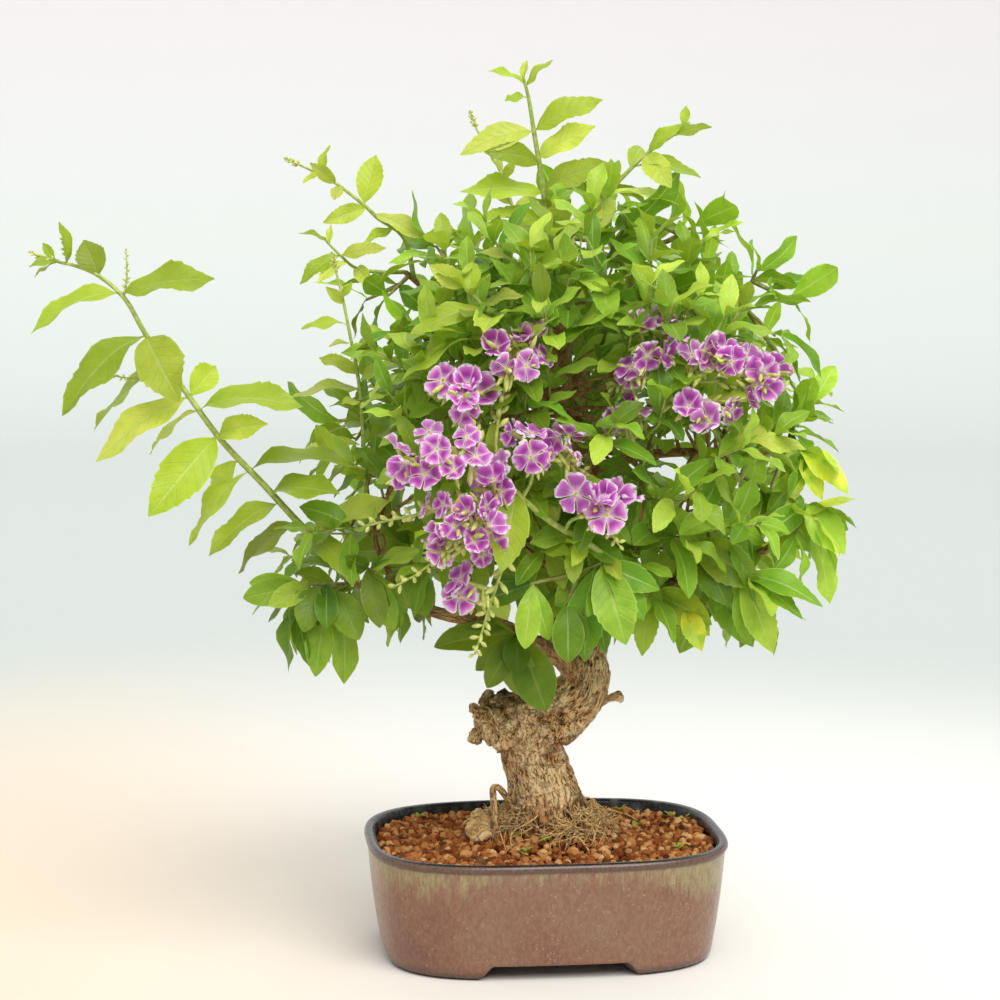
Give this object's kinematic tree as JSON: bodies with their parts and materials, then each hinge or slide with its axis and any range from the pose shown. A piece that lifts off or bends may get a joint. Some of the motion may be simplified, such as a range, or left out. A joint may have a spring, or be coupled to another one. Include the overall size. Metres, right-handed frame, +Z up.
{
  "type": "flowering bonsai tree in a glazed pot",
  "caption": "Golden dewdrop bonsai: gnarled leaning trunk, leafy crown with long young shoots and racemes of violet florets, in a rounded footed glazed pot of clay granules.",
  "frame": {"origin": "centre of the whole tree's outline in plan, on the surface that the pot's feet stand on", "axes": "+Z up, +X to the right and +Y away from the viewer when the pot's long side faces the front"},
  "size_m": [0.3514, 0.2526, 0.3941],
  "materials": {
    "pot_glaze": "satin",
    "clay_granules": "matte",
    "bark": "matte",
    "screen_mesh": "matte",
    "staple_wire": "satin",
    "young_leaf": "satin",
    "leaf": "satin",
    "petal": "matte"
  },
  "bodies": {
    "root": {"pot": "pot_glaze", "soil": "clay_granules", "trunk": "bark", "drain_screen_left": "screen_mesh", "drain_screen_right": "screen_mesh", "staple_left": "staple_wire", "staple_right": "staple_wire", "left_arching_shoot": "young_leaf", "left_upright_shoot": "young_leaf", "upper_left_shoot": "young_leaf", "small_left_shoot": "young_leaf", "leader_shoot": "young_leaf", "upper_right_shoot": "young_leaf", "far_back_shoot": "young_leaf", "front_upright_shoot": "young_leaf", "front_left_shoot": "young_leaf", "flowering_shoot_low": "young_leaf", "flowering_shoot_high": "young_leaf", "tuft_right_top": "leaf", "tuft_crown_right": "leaf", "tuft_crown_middle": "leaf", "tuft_crown_left": "leaf", "tuft_left_top": "leaf", "tuft_left_olive": "leaf", "tuft_left_upper": "leaf", "tuft_front_crown": "leaf", "tuft_left_middle": "leaf", "tuft_left_inner": "leaf", "tuft_right_upper": "leaf", "tuft_right_shoulder": "leaf", "tuft_right_middle": "leaf", "tuft_right_far": "leaf", "tuft_right_front": "leaf", "tuft_right_fall": "leaf", "tuft_right_bottom": "leaf", "tuft_front_fall": "leaf", "tuft_low_left_front": "leaf", "tuft_left_fall": "leaf", "tuft_left_near": "leaf", "tuft_left_side": "leaf", "tuft_centre_left": "leaf", "tuft_centre_right": "leaf", "tuft_back_low_left": "leaf", "tuft_back_low_right": "leaf", "tuft_back_middle": "leaf", "tuft_back_high_left": "leaf", "tuft_back_high_right": "leaf", "tuft_back_top": "leaf", "raceme_upper": "petal", "raceme_upper_left": "petal", "raceme_centre": "petal", "raceme_hanging": "petal", "raceme_left_buds": "petal", "raceme_right": "petal", "raceme_low_right": "petal", "raceme_pendent": "petal", "raceme_high_left": "petal", "raceme_high_right": "petal", "raceme_high_low": "petal"}
  },
  "joints": []
}
